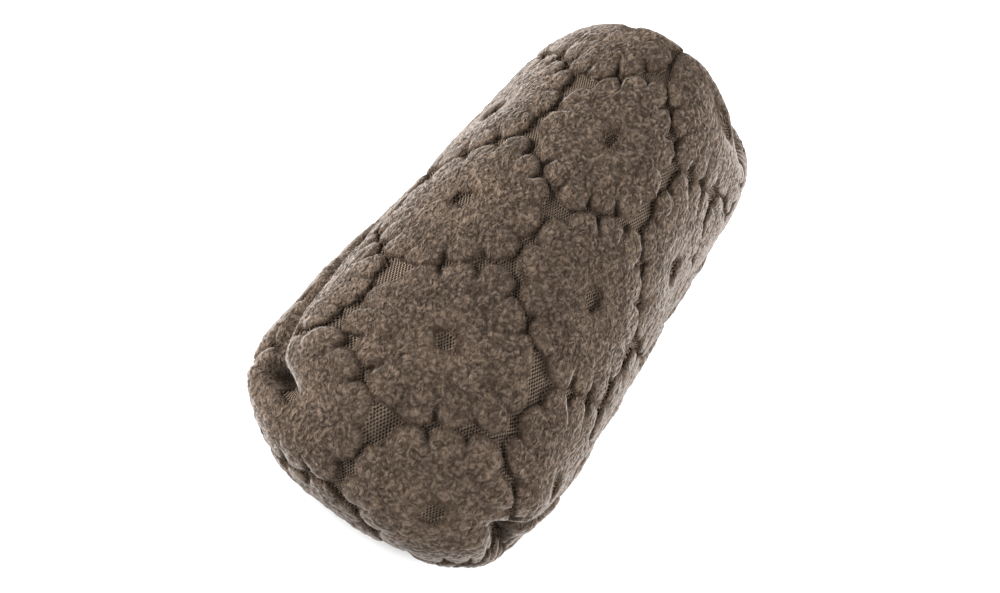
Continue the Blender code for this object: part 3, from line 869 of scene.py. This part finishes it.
def set_fabric(made, along, across, pile, tone):
    """A UV map with each vertex's place on the flat fabric, and its pile and its tone with the painted shade
    and highlight, for the materials.
    """
    layer = made.data.uv_layers.new(name="fabric")
    corner = np.empty(len(made.data.loops), dtype=np.int32)
    made.data.loops.foreach_get("vertex_index", corner)
    flat = np.stack([across.ravel(), along.ravel()], axis=1) / FABRIC_UNIT
    layer.data.foreach_set("uv", flat[corner].astype(np.float32).ravel())
    for name, values in (("pile", pile), ("tone", tone)):
        numbers = made.data.attributes.new(name, "FLOAT", "POINT")
        numbers.data.foreach_set("value", np.asarray(values, dtype=np.float32).ravel())


def close_rings(piece):
    """Points of a piece's rings that fall together, at a pole or a middle line, become one."""
    shape = bmesh.new()
    shape.from_mesh(piece.data)
    bmesh.ops.remove_doubles(shape, verts=shape.verts, dist=MERGE_DISTANCE)
    shape.to_mesh(piece.data)
    shape.free()


def finish_piece(made):
    """Every piece rides on the one body."""
    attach(made, BODY)


def put_value(tree, value, socket):
    """A socket linked to another socket's value, or set to a plain one."""
    if isinstance(value, bpy.types.NodeSocket):
        tree.links.new(value, socket)
    else:
        socket.default_value = value


def add_node(tree, kind, values=None, **settings):
    """A shader node with its settings, its socket values and its links."""
    made = tree.nodes.new(kind)
    for key, value in settings.items():
        setattr(made, key, value)
    for socket, value in (values or {}).items():
        put_value(tree, value, made.inputs[socket])
    return made


def new_group(name, inputs, outputs):
    """An empty shader group with its named sockets, and its input and output nodes."""
    tree = bpy.data.node_groups.new(name, "ShaderNodeTree")
    for label, kind in inputs:
        tree.interface.new_socket(name=label, in_out="INPUT", socket_type=kind)
    for label, kind in outputs:
        tree.interface.new_socket(name=label, in_out="OUTPUT", socket_type=kind)
    return tree, tree.nodes.new("NodeGroupInput"), tree.nodes.new("NodeGroupOutput")


def group_node(tree, group, values):
    """A group placed in a material with its own values."""
    return add_node(tree, "ShaderNodeGroup", values, node_tree=group)


def math_node(tree, operation, first, second=0.0):
    """The output of one math node."""
    return add_node(tree, "ShaderNodeMath", {0: first, 1: second}, operation=operation).outputs[0]


def ranged(tree, value, source, target=(0.0, 1.0), curve="LINEAR"):
    """A value moved from one range to another, and held at its ends."""
    ends = {"From Min": source[0], "From Max": source[1], "To Min": target[0], "To Max": target[1]}
    made = add_node(tree, "ShaderNodeMapRange", {"Value": value, **ends}, interpolation_type=curve)
    return made.outputs["Result"]


def noise(tree, place, fineness, detail, roughness=0.5, curl=0.0):
    """A noise's height, wound round itself by curl."""
    form = {"Scale": fineness, "Detail": detail, "Roughness": roughness, "Distortion": curl}
    return add_node(tree, "ShaderNodeTexNoise", {"Vector": place, **form}).outputs[0]


def mix_colours(tree, share, first, second, blend="MIX"):
    """The output of a colour mix."""
    values = {0: share, 6: first, 7: second}
    return add_node(tree, "ShaderNodeMix", values, data_type="RGBA", blend_type=blend).outputs[2]


def grey_of(tree, value):
    """A grey with the value in all its three parts."""
    return add_node(tree, "ShaderNodeCombineColor", {0: value, 1: value, 2: value}).outputs[0]


def toned(tree, colour, tone, factors):
    """A colour made darker and lighter by a tone, between the lowest and the highest factor."""
    grey = grey_of(tree, ranged(tree, tone, TONE_RANGE, factors))
    return mix_colours(tree, 1.0, colour, grey, "MULTIPLY")


def bump(tree, shader, height, distance, strength=1.0):
    """A bump on the shader's normal, with its distance in metres."""
    made = add_node(tree, "ShaderNodeBump", {"Height": height, "Distance": distance, "Strength": strength})
    tree.links.new(made.outputs["Normal"], shader.inputs["Normal"])


@functools.lru_cache(maxsize=None)
def open_knit_group():
    """Half-drop mesh: holes where the product of two cosines, one along and one across, is high."""
    tree, given, result = new_group(
        "open_knit",
        (("Fabric", "NodeSocketVector"), ("Row", "NodeSocketFloat"), ("Column", "NodeSocketFloat")),
        (("Hole", "NodeSocketFloat"), ("Height", "NodeSocketFloat")),
    )
    parts = add_node(tree, "ShaderNodeSeparateXYZ", {0: given.outputs["Fabric"]})
    waves = []
    for axis, pitch, repeat in ((0, "Column", 1.0), (1, "Row", 2.0)):
        turns = math_node(tree, "MULTIPLY", parts.outputs[axis], FABRIC_UNIT * 2.0 * math.pi / repeat)
        turns = math_node(tree, "DIVIDE", turns, given.outputs[pitch])
        waves.append(math_node(tree, "COSINE", turns))
    product = math_node(tree, "MULTIPLY", waves[0], waves[1])
    tree.links.new(ranged(tree, product, KNIT_HOLE, curve="SMOOTHSTEP"), result.inputs["Hole"])
    tree.links.new(math_node(tree, "MULTIPLY", product, KNIT_HEIGHT), result.inputs["Height"])
    return tree


@functools.lru_cache(maxsize=None)
def fibre_group():
    """Fuzz of the fibres: fine noise for the height, and broad noise for a slow change of tone."""
    tree, given, result = new_group(
        "fibre_fuzz",
        (("Place", "NodeSocketVector"), ("Fineness", "NodeSocketFloat")),
        (("Height", "NodeSocketFloat"), ("Tone", "NodeSocketFloat")),
    )
    fine = noise(tree, given.outputs["Place"], given.outputs["Fineness"], detail=4.0, roughness=0.7)
    broad = noise(tree, given.outputs["Place"], SLOW_FINENESS, detail=2.0)
    tree.links.new(fine, result.inputs["Height"])
    tree.links.new(broad, result.inputs["Tone"])
    return tree


@functools.lru_cache(maxsize=None)
def tuft_group():
    """Small curled tufts of the pile: noise wound round itself, whose low places the material darkens as
    painted shade in the gaps.
    """
    tree, given, result = new_group(
        "pile_tufts",
        (("Place", "NodeSocketVector"), ("Fineness", "NodeSocketFloat"), ("Curl", "NodeSocketFloat")),
        (("Height", "NodeSocketFloat"),),
    )
    place, fineness, curl = (given.outputs[name] for name in ("Place", "Fineness", "Curl"))
    wound = noise(tree, place, fineness, detail=3.0, roughness=0.55, curl=curl)
    tree.links.new(ranged(tree, wound, TUFT_RANGE), result.inputs["Height"])
    return tree


def new_material(name, roughness):
    """A material with its tree and its shader, as rough as given."""
    made = bpy.data.materials.new(name)
    made.use_nodes = True
    shader = made.node_tree.nodes["Principled BSDF"]
    shader.inputs["Roughness"].default_value = roughness
    return made, made.node_tree, shader


def soften(shader, weight):
    """Constant sheen of fine fibres, and hardly any gloss."""
    shader.inputs["Specular IOR Level"].default_value = FIBRE_SPECULAR
    shader.inputs["Sheen Weight"].default_value = weight
    shader.inputs["Sheen Roughness"].default_value = SHEEN_ROUGHNESS
    shader.inputs["Sheen Tint"].default_value = SHEEN_TINT


@functools.lru_cache(maxsize=None)
def fleece_material(name, sheen):
    """Knit ground with painted shade in its holes, and curled pile on it with painted shade in its gaps, a
    painted highlight on its curls and a painted sheen at its rim.
    """
    fleece = bpy.context.scene.slipper_fleece
    made, tree, shader = new_material(name, FIBRE_ROUGHNESS)
    soften(shader, SHEEN_SHARE * sheen)
    flat = add_node(tree, "ShaderNodeUVMap", uv_map="fabric").outputs[0]
    place = add_node(tree, "ShaderNodeTexCoord").outputs["Object"]
    piled = add_node(tree, "ShaderNodeAttribute", attribute_name="pile").outputs["Fac"]
    tone = add_node(tree, "ShaderNodeAttribute", attribute_name="tone").outputs["Fac"]
    stitches = {"Fabric": flat, "Row": fleece.knit_row, "Column": fleece.knit_column}
    knit = group_node(tree, open_knit_group(), stitches)
    fuzz = group_node(tree, fibre_group(), {"Place": place, "Fineness": FUZZ_FINENESS})
    tufts = group_node(tree, tuft_group(), {"Place": place, "Fineness": TUFT_FINENESS, "Curl": TUFT_CURL})
    # Painted shade in the knit's holes.
    yarn = mix_colours(tree, knit.outputs["Hole"], tuple(fleece.knit_colour), tuple(fleece.hole_shade_colour))
    # Painted shade: the curls darken towards the roots' colour where the tone is low and in the gaps between
    # the tufts.
    curls = mix_colours(tree, tone, tuple(fleece.painted_shade_colour), tuple(fleece.tip_colour))
    unshaded = ranged(tree, tufts.outputs["Height"], TONE_RANGE, TUFT_UNSHADED)
    curls = mix_colours(tree, unshaded, tuple(fleece.painted_shade_colour), curls)
    curls = toned(tree, curls, fuzz.outputs["Height"], FUZZ_TONE)
    colour = mix_colours(tree, piled, yarn, curls)
    colour = toned(tree, colour, fuzz.outputs["Tone"], SLOW_TONE)
    # Painted sheen at the rim, by the Layer Weight's facing, stronger where the tone is high.
    turned = add_node(tree, "ShaderNodeLayerWeight", {"Blend": 0.5}).outputs["Facing"]
    rim = ranged(tree, turned, PAINTED_SHEEN_FACING, (0.0, sheen), "SMOOTHSTEP")
    rim = math_node(tree, "MULTIPLY", rim, ranged(tree, tone, PAINTED_SHEEN_BY_TONE))
    colour = mix_colours(tree, rim, colour, tuple(fleece.painted_sheen_colour))
    tree.links.new(colour, shader.inputs["Base Color"])
    bare = math_node(tree, "SUBTRACT", 1.0, piled)
    height = math_node(tree, "MULTIPLY", knit.outputs["Height"], bare)
    fibres = math_node(tree, "ADD", tufts.outputs["Height"], fuzz.outputs["Height"])
    height = math_node(tree, "ADD", height, math_node(tree, "MULTIPLY", fibres, piled))
    bump(tree, shader, height, PILE_BUMP)
    return made


def fleece_materials():
    """The pile, with its fibres' sheen, and the bare knit, with little."""
    return [fleece_material("fleece_pile", PILE_SHEEN), fleece_material("fleece_knit", KNIT_SHEEN)]


@functools.lru_cache(maxsize=None)
def lining_material():
    """Short lining nap: fine fuzz with a slow change of tone."""
    fleece = bpy.context.scene.slipper_fleece
    made, tree, shader = new_material("lining_nap", FIBRE_ROUGHNESS)
    soften(shader, LINING_SHEEN)
    place = add_node(tree, "ShaderNodeTexCoord").outputs["Object"]
    fuzz = group_node(tree, fibre_group(), {"Place": place, "Fineness": LINING_FINENESS})
    colour = toned(tree, tuple(fleece.lining_colour), fuzz.outputs["Tone"], LINING_SLOW_TONE)
    colour = toned(tree, colour, fuzz.outputs["Height"], LINING_FUZZ_TONE)
    tree.links.new(colour, shader.inputs["Base Color"])
    bump(tree, shader, fuzz.outputs["Height"], LINING_BUMP)
    return made


@functools.lru_cache(maxsize=None)
def grip_material():
    """Satin rubber with a fine moulded grain."""
    grips = bpy.context.scene.slipper_grips
    made, tree, shader = new_material("grip_rubber", grips.roughness)
    shader.inputs["Specular IOR Level"].default_value = RUBBER_SPECULAR
    place = add_node(tree, "ShaderNodeTexCoord").outputs["Object"]
    grain = group_node(tree, fibre_group(), {"Place": place, "Fineness": GRAIN_FINENESS})
    colour = toned(tree, tuple(grips.colour), grain.outputs["Tone"], GRAIN_TONE)
    tree.links.new(colour, shader.inputs["Base Color"])
    spread = tuple(grips.roughness + change for change in GRAIN_ROUGHNESS)
    roughness = ranged(tree, grain.outputs["Height"], (0.0, 1.0), spread)
    tree.links.new(roughness, shader.inputs["Roughness"])
    bump(tree, shader, grain.outputs["Height"], GRAIN_BUMP, GRAIN_STRENGTH)
    return made


@functools.lru_cache(maxsize=None)
def floor_material():
    """Pale matt floor that glows beyond the slipper, so that it has no horizon."""
    stage = bpy.context.scene.slipper_stage
    made, tree, shader = new_material("studio_floor", FLOOR_ROUGHNESS)
    place = add_node(tree, "ShaderNodeTexCoord").outputs["Object"]
    grain = group_node(tree, fibre_group(), {"Place": place, "Fineness": FLOOR_FINENESS})
    colour = toned(tree, tuple(stage.floor_colour), grain.outputs["Tone"], FLOOR_TONE)
    tree.links.new(colour, shader.inputs["Base Color"])
    far = add_node(tree, "ShaderNodeVectorMath", {0: place}, operation="LENGTH").outputs["Value"]
    glow = ranged(tree, far, GLOW_DISTANCE, GLOW_STRENGTH, "SMOOTHSTEP")
    tree.links.new(grey_of(tree, glow), shader.inputs["Emission Color"])
    shader.inputs["Emission Strength"].default_value = 1.0
    return made


class SLIPPER_OT_upper(bpy.types.Operator):
    """Makes the upper's closed shell: the wall under the pile, its turned collar and the lining inside"""

    bl_idname = "slipper.upper"
    bl_label = "Upper shell"

    def execute(self, context):
        made = upper_surface()
        columns = slice(None, None, SHELL_COLUMN_STEP)
        edge = len(made["ground"]) - ROLL_ROWS - 1
        rows = np.append(np.arange(0, edge, SHELL_ROW_STEP), edge)
        ground = made["ground"][rows][:, columns]
        normal = made["normal"][rows][:, columns]
        sunk = made["sunk"][rows][:, columns]
        outer = ground - normal * (SHELL_SUNK + sunk)
        inner = (ground - normal * (WALL + sunk))[::-1]
        roll = slice(edge + 1, None, ROLL_ROW_STEP)
        turned = made["ground"][roll][:, columns] - made["normal"][roll][:, columns] * ROLL_SUNK
        grid = np.concatenate([outer, turned, inner])
        count = grid.shape[1]
        faces = np.concatenate([ring_quads(len(grid), count), ring_quads(2, count)[:, ::-1]])
        closing = faces[-count:]
        closing[closing >= count] += (len(grid) - 2) * count
        points = with_toe_spring(grid.reshape(-1, 3))
        shell = put_mesh("fleece_upper", points, faces, [lining_material()])
        finish_piece(shell)
        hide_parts("upper")
        return {"FINISHED"}


class SLIPPER_OT_fleece(bpy.types.Operator):
    """Makes the flowered fleece over the upper, in pieces that meet edge to edge round the shoe"""

    bl_idname = "slipper.fleece"
    bl_label = "Flowered fleece"

    def execute(self, context):
        made = upper_surface()
        last = len(made["outer"]) - 1
        for patch in PATCHES:
            first = round(patch["from"] * COLUMNS)
            columns = np.arange(first, round(patch["to"] * COLUMNS) + 1) % COLUMNS
            upper = np.arange(EDGE_ROWS, last, patch["row_step"])
            rows = np.concatenate([np.arange(EDGE_ROWS), upper, [last]])
            part = {name: values[rows][:, columns] for name, values in made.items()}
            faces = patch_quads(len(rows), len(columns))
            bare = part["sheen"].ravel()[faces].mean(axis=1) < 0.5
            points = with_toe_spring(part["outer"].reshape(-1, 3))
            piece = put_mesh(patch["name"], points, faces, fleece_materials(), bare)
            set_fabric(piece, part["along"], part["across"], part["pile"], part["tone"])
            finish_piece(piece)
        return {"FINISHED"}


class SLIPPER_OT_sole(bpy.types.Operator):
    """Makes the padded sole panel: flowered fleece underneath and a nap bed inside"""

    bl_idname = "slipper.sole"
    bl_label = "Sole panel"

    def execute(self, context):
        made = sole_surface()
        under, lip = made["under"], made["lip"]
        middle = lip * [SOLE_MIDDLE_SHARE, 0.0, 0.0] + [0.0, 0.0, SOLE_TOP]
        share = np.linspace(0.0, 1.0, BED_ROWS)[:, None, None]
        bed = lip + (middle - lip) * share
        bed[..., 2] = SOLE_TOP + (lip[:, 2] - SOLE_TOP) * (1.0 - smooth(*BED_ROLL, share[..., 0]))
        grid = np.concatenate([under[::-1], made["inner"][None], bed])
        count = grid.shape[1]
        faces = ring_quads(len(grid), count)
        plain = np.zeros((len(grid) - len(under), count))
        fields = ("along", "across", "pile", "tone", "sheen")
        along, across, pile, tone, sheen = (np.concatenate([made[name][::-1], plain]) for name in fields)
        surface = np.where(sheen.ravel()[faces].mean(axis=1) < 0.5, 1, 0)
        surface[(len(under) - 1) * count :] = 2
        points = with_toe_spring(grid.reshape(-1, 3))
        sole = put_mesh("sole_panel", points, faces, [*fleece_materials(), lining_material()], surface)
        set_fabric(sole, along, across, pile, tone)
        close_rings(sole)
        finish_piece(sole)
        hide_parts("sole")
        return {"FINISHED"}


class SLIPPER_OT_grips(bpy.types.Operator):
    """Makes the hexagon rubber grips, with rounded edges and a slightly dished face"""

    bl_idname = "slipper.grips"
    bl_label = "Grips"

    def execute(self, context):
        angle = np.linspace(0.0, 2.0 * np.pi, GRIP_COLUMNS, endpoint=False)
        reach = 0.5 * GRIP_FLATS * hexagon_reach(angle)
        profile = ({"share": 0.0, "height": GRIP_THICKNESS}, *GRIP_PROFILE)
        out = table_column(profile, "share")[:, None] * reach
        height = np.broadcast_to(table_column(profile, "height")[:, None], out.shape)
        shape = np.stack([out * np.cos(angle), out * np.sin(angle), height], axis=2)
        faces = ring_quads(len(shape), GRIP_COLUMNS)[:, ::-1]
        for name, middle_x, middle_y in grip_places():
            points = (shape + [middle_x, middle_y, 0.0]).reshape(-1, 3)
            grip = put_mesh(f"grip_pad_{name}", with_toe_spring(points), faces, [grip_material()])
            close_rings(grip)
            finish_piece(grip)
            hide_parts(f"grip_{name}")
        return {"FINISHED"}


def put_floor():
    """One wide square at height 0, where the slipper stands."""
    corner = FLOOR_REACH / MM
    points = corner * np.array([[-1.0, -1.0, 0.0], [1.0, -1.0, 0.0], [1.0, 1.0, 0.0], [-1.0, 1.0, 0.0]])
    put_mesh("studio_floor", points, np.array([[0, 1, 2, 3]]), [floor_material()])


def put_sky(scene):
    """An even white sky that lights the slipper weakly and shows white behind it."""
    scene.world = bpy.data.worlds.new("studio_sky")
    scene.world.use_nodes = True
    tree = scene.world.node_tree
    sky = tree.nodes["Background"]
    sky.inputs["Color"].default_value = (1.0, 1.0, 1.0, 1.0)
    seen = add_node(tree, "ShaderNodeLightPath").outputs["Is Camera Ray"]
    tree.links.new(math_node(tree, "MAXIMUM", seen, scene.slipper_stage.sky), sky.inputs["Strength"])


def put_lights(scene):
    """Soft square lights round the slipper, all turned to the camera's target."""
    for row in STUDIO_LIGHTS:
        lamp = bpy.data.lights.new(f"light_{row['name']}", "AREA")
        lamp.size = row["size"]
        lamp.energy = row["power"]
        light = bpy.data.objects.new(lamp.name, lamp)
        light.location = row["place"]
        light.rotation_mode = "QUATERNION"
        aim = Vector(scene.slipper_stage.target) - light.location
        light.rotation_quaternion = aim.to_track_quat("-Z", "Y")
        scene.collection.objects.link(light)


def put_camera(scene):
    """A camera that looks at its target from the azimuth and elevation, rolled about its line of sight."""
    stage = scene.slipper_stage
    lens = bpy.data.cameras.new("camera")
    lens.lens = stage.lens
    lens.sensor_width = SENSOR_WIDTH
    camera = bpy.data.objects.new("camera", lens)
    flat = math.cos(stage.elevation)
    across = math.sin(stage.azimuth) * flat
    along = -math.cos(stage.azimuth) * flat
    back = Vector((across, along, math.sin(stage.elevation)))
    camera.rotation_mode = "QUATERNION"
    camera.location = Vector(stage.target) + back * stage.distance
    camera.rotation_quaternion = (-back).to_track_quat("-Z", "Y") @ Quaternion((0.0, 0.0, 1.0), stage.roll)
    scene.collection.objects.link(camera)
    scene.camera = camera


class SLIPPER_OT_stage(bpy.types.Operator):
    """Makes the floor, the sky, the soft lights and the camera"""

    bl_idname = "slipper.stage"
    bl_label = "Studio"

    def execute(self, context):
        put_floor()
        put_sky(context.scene)
        put_lights(context.scene)
        put_camera(context.scene)
        context.scene.view_settings.view_transform = "Standard"
        return {"FINISHED"}


class SLIPPER_PT_panel(bpy.types.Panel):
    """Lists the slipper's settings and the steps that make it"""

    bl_idname = "SLIPPER_PT_panel"
    bl_label = "Fleece slipper"
    bl_space_type = "VIEW_3D"
    bl_region_type = "UI"
    bl_category = "Slipper"

    def draw(self, context):
        scene = context.scene
        for settings in (scene.slipper_fleece, scene.slipper_grips, scene.slipper_stage):
            box = self.layout.box()
            for name in settings.__annotations__:
                box.prop(settings, name)
        for operator in OPERATORS:
            self.layout.operator(operator.bl_idname)


OPERATORS = (SLIPPER_OT_upper, SLIPPER_OT_fleece, SLIPPER_OT_sole, SLIPPER_OT_grips, SLIPPER_OT_stage)
SETTINGS = {"slipper_fleece": SlipperFleece, "slipper_grips": SlipperGrips, "slipper_stage": SlipperStage}


def register():
    """Registers the settings, the operators and the panel."""
    for name, kind in SETTINGS.items():
        bpy.utils.register_class(kind)
        setattr(bpy.types.Scene, name, bpy.props.PointerProperty(type=kind))
    for kind in (*OPERATORS, SLIPPER_PT_panel):
        bpy.utils.register_class(kind)


def unregister():
    """Removes what register made, the last first."""
    for kind in (SLIPPER_PT_panel, *reversed(OPERATORS)):
        bpy.utils.unregister_class(kind)
    for name, kind in reversed(SETTINGS.items()):
        delattr(bpy.types.Scene, name)
        bpy.utils.unregister_class(kind)


def main():
    """Makes the slipper and its studio."""
    register()
    bpy.ops.slipper.upper()
    bpy.ops.slipper.fleece()
    bpy.ops.slipper.sole()
    bpy.ops.slipper.grips()
    bpy.ops.slipper.stage()


if __name__ == "__main__":
    main()
